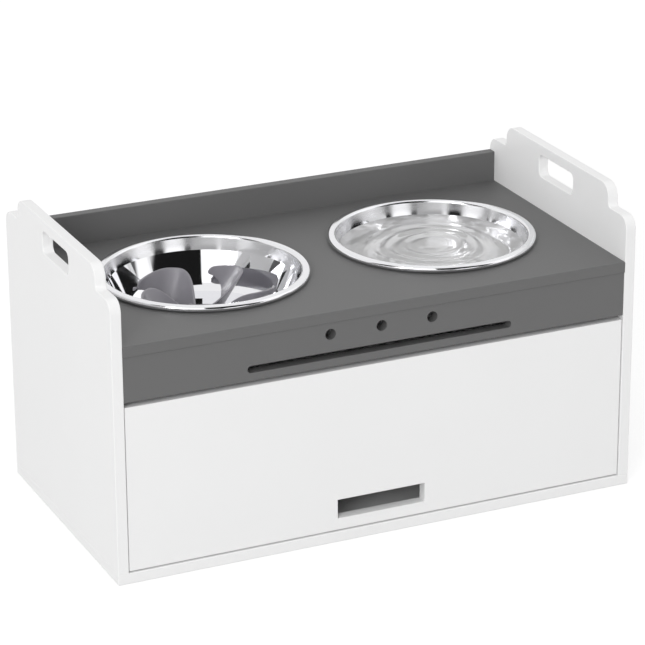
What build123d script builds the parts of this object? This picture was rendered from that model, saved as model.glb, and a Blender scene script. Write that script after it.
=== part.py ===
from build123d import *
from math import atan2, cos, radians, sin, tan
import os

# Elevated dog feeder with a storage compartment.
# Millimetres, +Z up, origin on the floor under the middle of the base. The front faces -Y.

os.makedirs("parts", exist_ok=True)

# --- Cabinet
width = 600.0             # over the outer faces of the side panels
depth = 315.0             # front edge to back edge
board = 12.0              # thickness of every board
table_height = 262.0      # floor to the top of the tabletop
edge_round = 1.0          # eased edges of the painted boards
door_round = 0.5          # eased front edges of the door

# --- Side panels: a low shoulder in front and behind, and a raised crown with a hand grip
side_height = 337.0       # floor to the top of the crown
shoulder_drop = 25.0      # crown down to the shoulders
shoulder_depth = 40.0     # outer edge in to the crown
shoulder_radius = 14.0
crown_radius = 16.0
cove_radius = 5.0         # inside corner where a shoulder meets the crown
grip_length = 78.0
grip_height = 25.0
grip_radius = 7.0
grip_web = 12.0           # wood left above the grip

# --- Backsplash and apron
splash_height = 34.5      # above the tabletop
apron_height = 49.5
front_recess = 1.5        # apron and door behind the front edge of the tabletop
vent_radius = 6.0
vent_pitch = 58.5
vent_count = 3
vent_level = 36.5         # vent centres above the apron's lower edge
slot_length = 304.0
slot_width = 8.0
slot_level = 13.0         # slot centre above the apron's lower edge

# --- Flip-up door on two pivot pins
door_top_gap = 5.0        # lets the door's inner top corner swing past the apron
door_side_gap = 1.0
door_floor_gap = 1.5
pull_width = 102.0        # finger cut-out
pull_height = 21.5
pull_level = 13.0         # cut-out above the door's lower edge
pivot_drop = 6.0          # pivot axis below the door's top edge
pin_radius = 2.5
pin_fit = 0.05            # radial running clearance of a pin in its bush
pin_in_side = 8.0
pin_in_door = 11.0
bush_radius = 4.0
bush_collar_radius = 5.0
bush_collar = 0.6         # collar that keeps the door off the side panel
bush_length = 13.0

# --- Magnetic catches on the side panels, which also stop the closing door
catch_level = 70.0        # catch centre above the floor
catch_height = 40.0
catch_width = 14.0        # out from the side panel
catch_length = 18.0
catch_shell = 2.0         # housing wall, and its rounded corners
catch_gap = 0.3           # between the pole plates and the strike plate
pole_thickness = 1.5
pole_length = 12.0
pole_proud = 2.2          # pole plates in front of the housing
magnet_height = 4.0
strike_thickness = 1.2
strike_width = 12.0
strike_height = 34.0
small_screw_radius = 1.5
small_screw_bite = 8.0    # in the wood
small_head_radius = 2.8
small_head = 1.4
small_screw_pitch = 26.0

# --- Stainless bowls, with a rolled rim that rests on the tabletop
bowl_pitch = 271.0        # between the centres of the two bowls
bowl_back = 1.0           # bowl centres behind the middle of the tabletop
bowl_wall = 1.0
bowl_depth = 50.0         # tabletop down to the bowl's underside
heel_corner = 84.0        # radius where the floor and the body would meet unrounded
heel_radius = 24.0
crease_radius = 101.0     # inside, where the body meets the upper band
crease_drop = 8.7         # crease below the tabletop
band_radius = 105.0       # inside, at the top of the upper band
rim_radius = 111.2        # middle of the rolled bead
bead_radius = 3.3
bead_sweep = 235.0        # degrees of roll in the bead, from its top
sheet_bend = 1.6          # tightest bend of the sheet
rim_bend = 2.5            # from the band into the rim
rim_lift = 0.3            # bead above the tabletop
cutout_fit = 1.7          # round the bowl, in the tabletop

# --- Slow-feeder insert: hooked blades that lean over as they swirl out from a low hub
blade_count = 5
blade_thickness = 2.6
blade_top_drop = 11.5     # tops of the blades below the tabletop
blade_arc_radius = 34.5
blade_arc_centre = 45.5   # from the insert's axis to the middle of a blade's arc
blade_sweep = 157.0       # degrees of arc in a blade
blade_start = 176.0       # degrees round that arc's centre where a blade leaves the hub
blade_turn = 85.0         # degrees, direction of the first blade's arc
blade_lean = 30.0         # degrees from upright
blade_lean_turn = 245.0   # degrees from a blade's arc to the side it leans to
blade_root_height = 9.0   # at the hub
blade_root_slope = 0.3    # rise of the upper edge where it leaves the hub
blade_crest_radius = 60.0 # where a blade reaches its full height
blade_round = 11.0        # rounded outer top corner of a blade
blade_overhang = 8.0      # blade tips beyond the flat of the bowl's floor
blade_tip_height = 23.0   # underside of the tips above the bowl's floor
foot_inset = 11.0         # feet of the blades inside that flat
hub_radius = 12.0
hub_shoulder = 3.0        # rounding between the hub's top and its side
foot_radius = 36.0
foot_thickness = 2.0

# --- Flat-pack fittings
cam_radius = 7.0
cam_inset = 24.0          # board end to the cam's axis
cam_web = 2.0             # board left behind a cam
cam_fit = 0.1
cross_length = 7.0        # driver recess in a cam
cross_width = 1.4
cross_depth = 1.5
bolt_radius = 3.0
bolt_fit = 0.4            # round a cam bolt, in the board's end
bolt_thread_radius = 2.4
bolt_thread_length = 8.0
bolt_neck_radius = 1.6
bolt_head_length = 3.0
thread_fit = 0.05         # radial, between a fastener and its pilot hole
dowel_radius = 3.0
dowel_in_edge = 20.0
dowel_in_face = 8.0
dowel_fit = 0.05
base_screw_radius = 2.0
base_screw_length = 38.0
base_head_radius = 4.0

# --- Places of the fittings
table_bolt_y = 118.0      # from the middle of the tabletop
table_dowel_y = 88.0
apron_bolt_level = 36.0   # above the apron's lower edge
apron_dowel_level = 14.0
back_bolt_inset = 46.0    # from the back panel's upper and lower edges
back_dowel_inset = 80.0
splash_dowel_x = 200.0
side_screw_y = 120.0
side_dowel_y = 60.0
back_screw_x = 190.0

# --- Worked out from the sizes above
inner = width / 2 - board                         # inner face of a side panel
front = -depth / 2
back = depth / 2
table_under = table_height - board
table_middle = table_height - board / 2
shoulder_level = side_height - shoulder_drop
crown_half = depth / 2 - shoulder_depth
grip_level = side_height - grip_web - grip_height / 2
panel_front = front + front_recess                # front face of the apron and the door
panel_middle = panel_front + board / 2
panel_back = panel_front + board
apron_bottom = table_under - apron_height
back_middle = back - board / 2
back_panel_height = table_under - board
door_top = apron_bottom - door_top_gap
door_bottom = board + door_floor_gap
door_height = door_top - door_bottom
door_half = inner - door_side_gap
pivot_level = door_top - pivot_drop
strike_back = panel_back + strike_thickness
catch_front = strike_back + catch_gap + pole_proud
bowl_y = bowl_back
bowl_floor = table_height - bowl_depth            # underside of the bowls
cam_depth = board - cam_web
wall_slope = atan2(bowl_depth - crease_drop, crease_radius - heel_corner)
floor_flat = heel_corner - (heel_radius - bowl_wall) * tan(wall_slope / 2)
blade_height = bowl_depth - bowl_wall - blade_top_drop
blade_reach = floor_flat + blade_overhang
blade_foot = floor_flat - foot_inset
sides = (-1, 1)
upward = (Align.CENTER, Align.CENTER, Align.MIN)     # stands on its plane
downward = (Align.CENTER, Align.CENTER, Align.MAX)   # hangs from its plane

# Fittings on the inner faces of the side panels, as (y, z)
table_bolts = [(y, table_middle) for y in (-table_bolt_y, table_bolt_y)]
table_dowels = [(y, table_middle) for y in (-table_dowel_y, table_dowel_y)]
apron_bolts = [(panel_middle, apron_bottom + apron_bolt_level)]
apron_dowels = [(panel_middle, apron_bottom + apron_dowel_level)]
back_bolts = [(back_middle, z) for z in (board + back_bolt_inset, table_under - back_bolt_inset)]
back_dowels = [(back_middle, z) for z in (board + back_dowel_inset, table_under - back_dowel_inset)]
splash_bolts = [(back_middle, table_height + splash_height / 2)]
pivots = [(panel_middle, pivot_level)]


def end_planes(places, hands=sides):
    """Planes on the inner faces of the side panels that look to the middle of the cabinet."""
    return [Plane(origin=(s * inner, y, z), z_dir=(-s, 0, 0)) for s in hands for y, z in places]


def pin_hole(planes, radius, length):
    """Drill along each plane's normal, from the plane."""
    with Locations(*planes):
        Cylinder(radius, length, align=upward, mode=Mode.SUBTRACT)


def pin_hole_behind(planes, radius, length):
    """Drill against each plane's normal, from the plane."""
    with Locations(*planes):
        Cylinder(radius, length, align=downward, mode=Mode.SUBTRACT)


def cam_planes(places, into, face):
    """Planes on the drilled face of a board, one above each cam, that look into the board."""
    found = []
    for s in sides:
        for y, z in places:
            x = s * (inner - cam_inset)
            origin = (x, y, face) if into[2] else (x, face, z)
            found.append(Plane(origin=origin, z_dir=into))
    return found


def seat_cams(places, into, face):
    """Cut the bolt holes and cam pockets in the two ends of a board."""
    pin_hole(end_planes(places), bolt_radius + bolt_fit, cam_inset)
    pin_hole(cam_planes(places, into, face), cam_radius + cam_fit, cam_depth)


def seat_dowels(places):
    """Cut the dowel holes in the two ends of a board."""
    pin_hole(end_planes(places), dowel_radius + dowel_fit, dowel_in_edge)


def make_cams(places, into, face):
    """Cams in their pockets, each with a driver recess and a tunnel for its bolt."""
    with BuildPart() as cams:
        for plane in cam_planes(places, into, face):
            with Locations(plane):
                Cylinder(cam_radius, cam_depth, align=upward)
                Box(cross_length, cross_width, 2 * cross_depth, mode=Mode.SUBTRACT)
                Box(cross_width, cross_length, 2 * cross_depth, mode=Mode.SUBTRACT)
        pin_hole(end_planes(places), bolt_radius + cam_fit, cam_inset + bolt_head_length / 2 + cam_fit)
    return cams.part


def make_cam_bolts(places):
    """Bolts that screw into the side panels and end in a head inside each cam."""
    shank = cam_inset - cam_radius
    head_start = cam_inset - bolt_head_length / 2
    with BuildPart() as bolts:
        for plane in end_planes(places):
            with Locations(plane):
                Cylinder(bolt_thread_radius, bolt_thread_length, align=downward)
                Cylinder(bolt_radius, shank, align=upward)
            with Locations(plane.offset(shank)):
                Cylinder(bolt_neck_radius, head_start - shank, align=upward)
            with Locations(plane.offset(head_start)):
                Cylinder(bolt_radius, bolt_head_length, align=upward)
    return bolts.part


def make_dowels(planes):
    """Grooveless wooden dowels, deeper in a board's edge than in the face that it meets."""
    length = dowel_in_edge + dowel_in_face
    with BuildPart() as dowels:
        with Locations(*[plane.offset(-dowel_in_face) for plane in planes]):
            Cylinder(dowel_radius, length, align=upward)
    return dowels.part


# Fittings that stand up through the joint between the base plate and the boards on it
side_screws = [Plane(origin=(s * (inner + board / 2), y, 0)) for s in sides
               for y in (-side_screw_y, 0, side_screw_y)]
back_screws = [Plane(origin=(x, back_middle, 0)) for x in (-back_screw_x, 0, back_screw_x)]
base_dowels = [Plane(origin=(s * (inner + board / 2), y, board)) for s in sides
               for y in (-side_dowel_y, side_dowel_y)]
splash_dowels = [Plane(origin=(x, back_middle, table_height)) for x in (-splash_dowel_x, 0, splash_dowel_x)]

# The catches on the side panels, and the strike plates opposite them on the door
catch_places = [(s * (inner - catch_width / 2), catch_level) for s in sides]
catch_screw_places = [(catch_front + catch_length / 2, catch_level + k * small_screw_pitch / 2)
                      for k in sides]
catch_screw_planes = [Plane(origin=(s * (inner - catch_width), y, z), z_dir=(s, 0, 0))
                      for s in sides for y, z in catch_screw_places]
strike_screws = [Plane(origin=(x, strike_back, z + k * small_screw_pitch / 2), z_dir=(0, -1, 0))
                 for x, z in catch_places for k in sides]

# --- Base plate
with BuildPart() as base_plate:
    with BuildSketch():
        Rectangle(width, depth)
    extrude(amount=board)
    fillet(base_plate.edges(), edge_round)
    with Locations(*[Plane(origin=p.origin, z_dir=(0, 0, -1)) for p in side_screws + back_screws]):
        CounterSinkHole(base_screw_radius + thread_fit, base_head_radius + thread_fit,
                        counter_sink_angle=90)
    pin_hole_behind(base_dowels, dowel_radius + dowel_fit, dowel_in_face)


def make_side_panel(hand):
    """A side panel, -1 for the left one and 1 for the right one."""
    outline = [(front, board), (front, shoulder_level), (-crown_half, shoulder_level),
               (-crown_half, side_height), (crown_half, side_height), (crown_half, shoulder_level),
               (back, shoulder_level), (back, board)]
    with BuildPart() as panel:
        with BuildSketch(Plane.YZ.offset(inner if hand > 0 else -inner - board)) as profile:
            with BuildLine():
                Polyline(*outline, close=True)
            make_face()
            for end in sides:
                for y, z, radius in ((end * depth / 2, shoulder_level, shoulder_radius),
                                     (end * crown_half, shoulder_level, cove_radius),
                                     (end * crown_half, side_height, crown_radius)):
                    fillet(profile.vertices().sort_by_distance((y, z))[0], radius)
            with Locations((0, grip_level)):
                RectangleRounded(grip_length, grip_height, grip_radius, mode=Mode.SUBTRACT)
        extrude(amount=board)
        rims = panel.edges().filter_by(lambda e: e.bounding_box().size.X < edge_round)
        fillet(rims.filter_by(lambda e: e.center().Z > board + edge_round), edge_round)
        bolts = end_planes(table_bolts + apron_bolts + back_bolts + splash_bolts, [hand])
        dowels = end_planes(table_dowels + apron_dowels + back_dowels, [hand])
        pin_hole_behind(bolts, bolt_thread_radius + thread_fit, bolt_thread_length)
        pin_hole_behind(dowels, dowel_radius + dowel_fit, dowel_in_face)
        pin_hole_behind(end_planes(pivots, [hand]), pin_radius + thread_fit, pin_in_side)
        catch_planes = end_planes(catch_screw_places, [hand])
        pin_hole_behind(catch_planes, small_screw_radius + thread_fit, small_screw_bite)
        screws_below = [p for p in side_screws if p.origin.X * hand > 0]
        pin_hole(screws_below, base_screw_radius + thread_fit, base_screw_length)
        dowels_below = [p for p in base_dowels if p.origin.X * hand > 0]
        pin_hole(dowels_below, dowel_radius + dowel_fit, dowel_in_edge)
    return panel.part


left_side_panel = make_side_panel(-1)
right_side_panel = make_side_panel(1)

# --- Back panel, between the side panels and under the tabletop
with BuildPart() as back_panel:
    with BuildSketch(Plane.XY.offset(board)):
        with Locations((0, back_middle)):
            Rectangle(2 * inner, board)
    extrude(amount=back_panel_height)
    seat_cams(back_bolts, (0, -1, 0), back)
    seat_dowels(back_dowels)
    pin_hole(back_screws, base_screw_radius + thread_fit, base_screw_length)

# --- Tabletop, with a round cut-out for each bowl
bowl_places = [(s * bowl_pitch / 2, bowl_y) for s in sides]
with BuildPart() as tabletop:
    with BuildSketch(Plane.XY.offset(table_under)):
        Rectangle(2 * inner, depth)
        with Locations(*bowl_places):
            Circle(band_radius + bowl_wall + cutout_fit, mode=Mode.SUBTRACT)
    extrude(amount=board)
    fillet(tabletop.edges().filter_by(Axis.X).group_by(Axis.Y)[0], edge_round)
    seat_cams(table_bolts, (0, 0, 1), table_under)
    seat_dowels(table_dowels)
    pin_hole_behind(splash_dowels, dowel_radius + dowel_fit, dowel_in_face)

# --- Backsplash, standing on the tabletop
with BuildPart() as backsplash:
    with BuildSketch(Plane.XY.offset(table_height)):
        with Locations((0, back_middle)):
            Rectangle(2 * inner, board)
    extrude(amount=splash_height)
    fillet(backsplash.edges().filter_by(Axis.X).group_by(Axis.Z)[-1], edge_round)
    seat_cams(splash_bolts, (0, -1, 0), back)
    pin_hole(splash_dowels, dowel_radius + dowel_fit, dowel_in_edge)

# --- Apron under the front of the tabletop, with round vents above a long slot
with BuildPart() as apron:
    with BuildSketch(Plane.XZ.offset(-panel_back)):
        with Locations((0, apron_bottom + apron_height / 2)):
            Rectangle(2 * inner, apron_height)
        with Locations((0, apron_bottom + vent_level)):
            with GridLocations(vent_pitch, 0, vent_count, 1):
                Circle(vent_radius, mode=Mode.SUBTRACT)
        with Locations((0, apron_bottom + slot_level)):
            SlotOverall(slot_length, slot_width, mode=Mode.SUBTRACT)
    extrude(amount=board)
    fillet(apron.edges().filter_by(Axis.X).group_by(Axis.Z)[0].group_by(Axis.Y)[0], edge_round)
    seat_cams(apron_bolts, (0, -1, 0), panel_back)
    seat_dowels(apron_dowels)

# --- Door, which swings out and up about the pins in its top corners
pivot_ends = [Plane(origin=(s * door_half, panel_middle, pivot_level), z_dir=(-s, 0, 0)) for s in sides]
with BuildPart() as door:
    with BuildSketch(Plane.XZ.offset(-panel_back)):
        with Locations((0, door_bottom + door_height / 2)):
            Rectangle(2 * door_half, door_height)
        with Locations((0, door_bottom + pull_level + pull_height / 2)):
            Rectangle(pull_width, pull_height, mode=Mode.SUBTRACT)
    extrude(amount=board)
    fillet(door.edges().filter_by(Plane.XZ).group_by(Axis.Y)[0], door_round)
    pin_hole(pivot_ends, bush_radius + thread_fit, bush_length)
    pin_hole(strike_screws, small_screw_radius + thread_fit, strike_thickness + small_screw_bite)

with BuildPart() as door_bushes:
    with Locations(*pivot_ends):
        Cylinder(bush_radius, bush_length, align=upward)
        Cylinder(bush_collar_radius, bush_collar, align=downward)
    pin_hole([p.offset(-bush_collar) for p in pivot_ends], pin_radius + pin_fit, bush_length)

with BuildPart() as door_pins:
    with Locations(*[p.offset(-pin_in_side) for p in end_planes(pivots)]):
        Cylinder(pin_radius, pin_in_side + pin_in_door, align=upward)

# --- Magnetic catches behind the door's lower corners, and the strike plates that they hold
pocket_width = catch_width - 2 * catch_shell
pocket_height = magnet_height + 2 * pole_thickness
with BuildPart() as catch_housings:
    with BuildSketch(Plane.XZ.offset(-catch_front - catch_length)):
        with Locations(*catch_places):
            RectangleRounded(catch_width, catch_height, catch_shell)
    extrude(amount=catch_length)
    with BuildSketch(Plane.XZ.offset(-catch_front - pole_length + pole_proud)):
        with Locations(*catch_places):
            Rectangle(pocket_width, pocket_height)
    extrude(amount=pole_length, mode=Mode.SUBTRACT)
    pin_hole(end_planes(catch_screw_places), small_screw_radius + thread_fit, catch_width)

with BuildPart() as catch_poles:
    with BuildSketch(Plane.XZ.offset(-catch_front - pole_length + pole_proud)):
        for x, z in catch_places:
            with Locations(*[(x, z + k * (magnet_height + pole_thickness) / 2) for k in sides]):
                Rectangle(pocket_width, pole_thickness)
    extrude(amount=pole_length)

with BuildPart() as catch_magnets:
    with BuildSketch(Plane.XZ.offset(-catch_front - pole_length + pole_proud)):
        with Locations(*catch_places):
            Rectangle(pocket_width, magnet_height)
    extrude(amount=pole_length - pole_proud)

with BuildPart() as strike_plates:
    with BuildSketch(Plane.XZ.offset(-strike_back)):
        with Locations(*catch_places):
            RectangleRounded(strike_width, strike_height, catch_shell)
    extrude(amount=strike_thickness)
    pin_hole(strike_screws, small_screw_radius + thread_fit, strike_thickness)


def make_small_screws(planes, length):
    """Screws whose heads sit on each plane and whose shanks run along its normal."""
    with BuildPart() as screws:
        with Locations(*planes):
            Cylinder(small_screw_radius, length, align=upward)
            Cone(small_head_radius, small_screw_radius, small_head, align=upward, rotation=(180, 0, 0))
    return screws.part


# --- Bowls: a dished body, an upper band and a broad rolled rim that hangs on the tabletop
rim_level = table_height + rim_lift + bead_radius
roll_radius = bead_radius - bowl_wall             # inside the roll
rim_top = rim_level + roll_radius


def make_bowl(x):
    """A spun sheet bowl: the underside is drawn as one line and thickened inwards."""
    heel = (heel_corner + bowl_wall, bowl_floor)
    crease = (crease_radius + bowl_wall, table_height - crease_drop)
    band_top = (band_radius + bowl_wall, rim_top)
    axis = Axis((x, bowl_y, 0), (0, 0, 1))
    with BuildPart() as bowl:
        with BuildSketch(Plane(origin=(x, bowl_y, 0), x_dir=(1, 0, 0), z_dir=(0, -1, 0))):
            with BuildLine() as sheet:
                FilletPolyline((0, bowl_floor), heel, crease, band_top, (rim_radius, rim_top),
                               radius=[heel_radius, sheet_bend, rim_bend])
                CenterArc((rim_radius, rim_level), roll_radius, 90, -bead_sweep)
                offset(sheet.line, amount=bowl_wall, side=Side.LEFT)
            make_face()
        revolve(axis=axis)
    return bowl.part


food_bowl = make_bowl(bowl_places[0][0])
water_bowl = make_bowl(bowl_places[1][0])

# --- Slow-feeder insert, which stands on the floor of the food bowl
feeder_floor = bowl_floor + bowl_wall
feeder_base = Plane(origin=(*bowl_places[0], feeder_floor))
feeder_side = Plane(origin=feeder_base.origin, x_dir=(1, 0, 0), z_dir=(0, -1, 0))
feeder_axis = Axis(feeder_base.origin, (0, 0, 1))
lean_way = radians(blade_lean_turn)
lean = (cos(lean_way) * tan(radians(blade_lean)), sin(lean_way) * tan(radians(blade_lean)), 1)
with BuildPart() as blade:
    with BuildSketch():
        with BuildLine(mode=Mode.PRIVATE):
            blade_line = CenterArc((blade_arc_centre, 0), blade_arc_radius, blade_start, blade_sweep)
        SlotArc(blade_line, blade_thickness)
    extrude(amount=blade_height / cos(radians(blade_lean)), dir=lean)
    with BuildSketch(Plane.XZ):
        with BuildLine():
            rise = Spline((hub_radius, blade_root_height), (blade_crest_radius, blade_height),
                          tangents=[(1, blade_root_slope), (1, 0)])
            crest = Line(rise @ 1, (blade_reach - blade_round, blade_height))
            TangentArc(crest @ 1, (blade_reach, blade_height - blade_round), tangent=(1, 0))
            Polyline((blade_reach, blade_height - blade_round), (blade_reach, blade_tip_height),
                     (blade_foot, 0), (0, 0), (0, blade_root_height), rise @ 0)
        make_face()
    revolve(axis=Axis.Z, mode=Mode.INTERSECT)
with BuildPart() as slow_feeder:
    with Locations(feeder_base), PolarLocations(0, blade_count, start_angle=blade_turn):
        add(blade.part)
    with BuildSketch(feeder_side):
        with BuildLine():
            hub = FilletPolyline((0, blade_root_height), (hub_radius, blade_root_height),
                                 (hub_radius, foot_thickness), (foot_radius, foot_thickness),
                                 radius=[hub_shoulder, foot_thickness])
            Polyline(hub @ 1, (foot_radius, 0), (0, 0), hub @ 0)
        make_face()
    revolve(axis=feeder_axis)

# --- Screws up through the base plate into the boards that stand on it
with BuildPart() as base_screws:
    with Locations(*side_screws, *back_screws):
        Cylinder(base_screw_radius, base_screw_length, align=upward)
        Cone(base_head_radius, base_screw_radius, base_head_radius - base_screw_radius,
             align=upward)

# --- Every piece in its own file
pieces = {
    "base_plate": base_plate.part,
    "left_side_panel": left_side_panel,
    "right_side_panel": right_side_panel,
    "back_panel": back_panel.part,
    "tabletop": tabletop.part,
    "backsplash": backsplash.part,
    "apron": apron.part,
    "door": door.part,
    "door_bushes": door_bushes.part,
    "door_pivot_pins": door_pins.part,
    "catch_housings": catch_housings.part,
    "catch_pole_plates": catch_poles.part,
    "catch_magnets": catch_magnets.part,
    "catch_screws": make_small_screws(catch_screw_planes, catch_width + small_screw_bite),
    "strike_plates": strike_plates.part,
    "strike_plate_screws": make_small_screws(strike_screws, strike_thickness + small_screw_bite),
    "food_bowl": food_bowl,
    "water_bowl": water_bowl,
    "slow_feeder": slow_feeder.part,
    "base_screws": base_screws.part,
    "base_dowels": make_dowels(base_dowels),
    "tabletop_cams": make_cams(table_bolts, (0, 0, 1), table_under),
    "tabletop_cam_bolts": make_cam_bolts(table_bolts),
    "tabletop_dowels": make_dowels(end_planes(table_dowels)),
    "apron_cams": make_cams(apron_bolts, (0, -1, 0), panel_back),
    "apron_cam_bolts": make_cam_bolts(apron_bolts),
    "apron_dowels": make_dowels(end_planes(apron_dowels)),
    "back_panel_cams": make_cams(back_bolts, (0, -1, 0), back),
    "back_panel_cam_bolts": make_cam_bolts(back_bolts),
    "back_panel_dowels": make_dowels(end_planes(back_dowels)),
    "backsplash_cams": make_cams(splash_bolts, (0, -1, 0), back),
    "backsplash_cam_bolts": make_cam_bolts(splash_bolts),
    "backsplash_dowels": make_dowels(splash_dowels),
}
for name, piece in pieces.items():
    piece.label = name
    export_step(piece, f"parts/{name}.step")
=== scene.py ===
"""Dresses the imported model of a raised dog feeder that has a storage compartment.

The boards, fittings and bowls are finished in place, and the pieces with a finer shape than the
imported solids, which are the bowls, the swirl insert, the water and the screws, are built here.
All lengths are in metres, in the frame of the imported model.
"""

import logging
import math
from dataclasses import dataclass, field, replace
from enum import Enum
from typing import Callable, ClassVar, Optional, Union

import bmesh
import bpy
from mathutils import Matrix, Vector, noise

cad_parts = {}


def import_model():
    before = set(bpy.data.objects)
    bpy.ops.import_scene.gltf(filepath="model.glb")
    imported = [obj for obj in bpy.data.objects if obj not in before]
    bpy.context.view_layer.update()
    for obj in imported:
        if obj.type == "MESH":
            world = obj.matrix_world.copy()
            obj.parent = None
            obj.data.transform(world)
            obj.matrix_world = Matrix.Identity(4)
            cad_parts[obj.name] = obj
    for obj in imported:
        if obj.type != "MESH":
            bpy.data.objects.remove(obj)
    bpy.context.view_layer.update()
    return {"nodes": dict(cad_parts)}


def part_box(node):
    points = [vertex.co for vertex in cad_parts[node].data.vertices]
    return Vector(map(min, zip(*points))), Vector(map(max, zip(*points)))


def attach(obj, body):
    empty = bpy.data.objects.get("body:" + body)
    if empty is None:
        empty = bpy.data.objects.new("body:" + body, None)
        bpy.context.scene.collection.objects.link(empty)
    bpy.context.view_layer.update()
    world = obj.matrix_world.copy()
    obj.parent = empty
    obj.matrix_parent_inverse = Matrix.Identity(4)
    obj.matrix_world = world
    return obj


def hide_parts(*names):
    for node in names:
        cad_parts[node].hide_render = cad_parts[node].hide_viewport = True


log = logging.getLogger("feeder")

Color = tuple[float, float, float]
Point = tuple[float, float]
MM = 0.001
DEGREES = 180 / math.pi
WHITE = (1.0, 1.0, 1.0, 1.0)
ON_AXIS = 1e-7
SHARPEST_MITRE = 0.5


# ---------------------------------------------------------------------------------- shader maths


class Wire:
    """A shader socket that takes part in Python arithmetic."""

    def __init__(self, graph: "Graph", socket: bpy.types.NodeSocket) -> None:
        """Remember the graph and the output socket."""
        self.graph = graph
        self.socket = socket

    def _math(self, operation: str, *values: "Number") -> "Wire":
        """Add a Math node that works on the given values."""
        inputs = dict(enumerate(values))
        return self.graph.add("ShaderNodeMath", {"operation": operation}, inputs)

    def __add__(self, other: "Number") -> "Wire":
        """Sum of two values."""
        return self._math("ADD", self, other)

    __radd__ = __add__

    def __sub__(self, other: "Number") -> "Wire":
        """Difference of two values."""
        return self._math("SUBTRACT", self, other)

    def __rsub__(self, other: "Number") -> "Wire":
        """Difference with the number on the left."""
        return self._math("SUBTRACT", other, self)

    def __mul__(self, other: "Number") -> "Wire":
        """Product of two values."""
        return self._math("MULTIPLY", self, other)

    __rmul__ = __mul__

    def __pow__(self, power: "Number") -> "Wire":
        """The value raised to a power."""
        return self._math("POWER", self, power)

    def larger(self, other: "Number") -> "Wire":
        """The larger of two values."""
        return self._math("MAXIMUM", self, other)

    def direction(self, ahead: "Number") -> "Wire":
        """Degrees between the axis ahead and the way to this value beside it."""
        return self._math("ARCTAN2", self, ahead) * DEGREES

    def elevation(self) -> "Wire":
        """Degrees above the horizon of a unit vector with this height."""
        return self._math("ARCSINE", self) * DEGREES

    def step(self, low: float, high: float) -> "Wire":
        """A smooth step from 0 at low to 1 at high.

        Args:
            low: value where the step starts.
            high: value where the step ends.

        Returns:
            The eased value.
        """
        settings = {"interpolation_type": "SMOOTHSTEP"}
        inputs = {"Value": self, "From Min": low, "From Max": high}
        return self.graph.add("ShaderNodeMapRange", settings, inputs)


Number = Union[Wire, float]


class Graph:
    """A node tree that is filled by one method."""

    def __init__(self, tree: bpy.types.NodeTree) -> None:
        """Start with an empty tree."""
        self.tree = tree
        tree.nodes.clear()

    def add(
        self,
        kind: str,
        settings: Optional[dict] = None,
        inputs: Optional[dict] = None,
        output: Union[int, str] = 0,
    ) -> Wire:
        """Add a node.

        Args:
            kind: the node's type.
            settings: properties of the node, which are set first.
            inputs: values or wires of its sockets, by name or number.
            output: the output socket that is returned.

        Returns:
            The chosen output as a wire.
        """
        node = self.tree.nodes.new(kind)
        for key, value in (settings or {}).items():
            setattr(node, key, value)
        for key, value in (inputs or {}).items():
            if isinstance(value, Wire):
                self.tree.links.new(value.socket, node.inputs[key])
            else:
                node.inputs[key].default_value = value
        return Wire(self, node.outputs[output]) if len(node.outputs) else Wire(self, None)

    def coordinates(self, kind: str = "Object") -> Wire:
        """Texture coordinates of the surface."""
        return self.add("ShaderNodeTexCoord", output=kind)

    def stretched(self, scale: tuple[float, float, float]) -> Wire:
        """The object's coordinates, scaled along each axis."""
        return self.add("ShaderNodeMapping", None, {"Vector": self.coordinates(), "Scale": scale})

    def split(self, vector: Wire) -> tuple[Wire, ...]:
        """The X, Y and Z parts of a vector."""
        return tuple(self.add("ShaderNodeSeparateXYZ", None, {0: vector}, output=k) for k in "XYZ")

    def noise(self, pattern: "Pattern", place: Optional[Wire] = None) -> Wire:
        """Fractal noise between 0 and 1.

        Args:
            pattern: its size and detail.
            place: coordinates, or the object's own ones.

        Returns:
            The noise value.
        """
        inputs = {"Vector": place or self.coordinates(), **pattern.inputs()}
        return self.add("ShaderNodeTexNoise", None, inputs)

    def rings(self, pattern: "Pattern", radius: Wire) -> Wire:
        """Noise between 0 and 1 that changes with one distance only.

        Args:
            pattern: its size and detail.
            radius: the distance.

        Returns:
            The noise value.
        """
        inputs = {"W": radius, **pattern.inputs()}
        return self.add("ShaderNodeTexNoise", {"noise_dimensions": "1D"}, inputs)

    def mix(self, factor: Number, first: Union[Wire, Color], second: Union[Wire, Color]) -> Wire:
        """Blend two colours.

        Args:
            factor: 0 for the first colour, 1 for the second.
            first: a colour or a wire.
            second: a colour or a wire.

        Returns:
            The blended colour.
        """
        first, second = (c if isinstance(c, Wire) else (*c, 1.0) for c in (first, second))
        inputs = {0: factor, 6: first, 7: second}
        return self.add("ShaderNodeMix", {"data_type": "RGBA"}, inputs, output=2)

    def bump(self, height: Wire, depth: float) -> Wire:
        """A normal that is bent by a height field.

        Args:
            height: values between 0 and 1.
            depth: metres between height 0 and height 1.

        Returns:
            The normal.
        """
        return self.add("ShaderNodeBump", None, {"Height": height, "Distance": depth})

    def blend_shaders(self, factor: Number, first: Wire, second: Wire) -> Wire:
        """Mix two shaders by a factor."""
        return self.add("ShaderNodeMixShader", None, {0: factor, 1: first, 2: second})


@dataclass(frozen=True)
class Pattern:
    """Fractal noise: its cells for each metre, its octaves and how far it swings the roughness."""

    cells: float
    octaves: float
    swing: float = 0.0

    def inputs(self) -> dict[str, float]:
        """Values of a noise node's sockets."""
        return {"Scale": self.cells, "Detail": self.octaves}


def shade(color: Color, factor: float) -> Color:
    """A colour made lighter or darker by a factor."""
    return tuple(min(1.0, part * factor) for part in color)


# -------------------------------------------------------------------------------------- finishes


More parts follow.
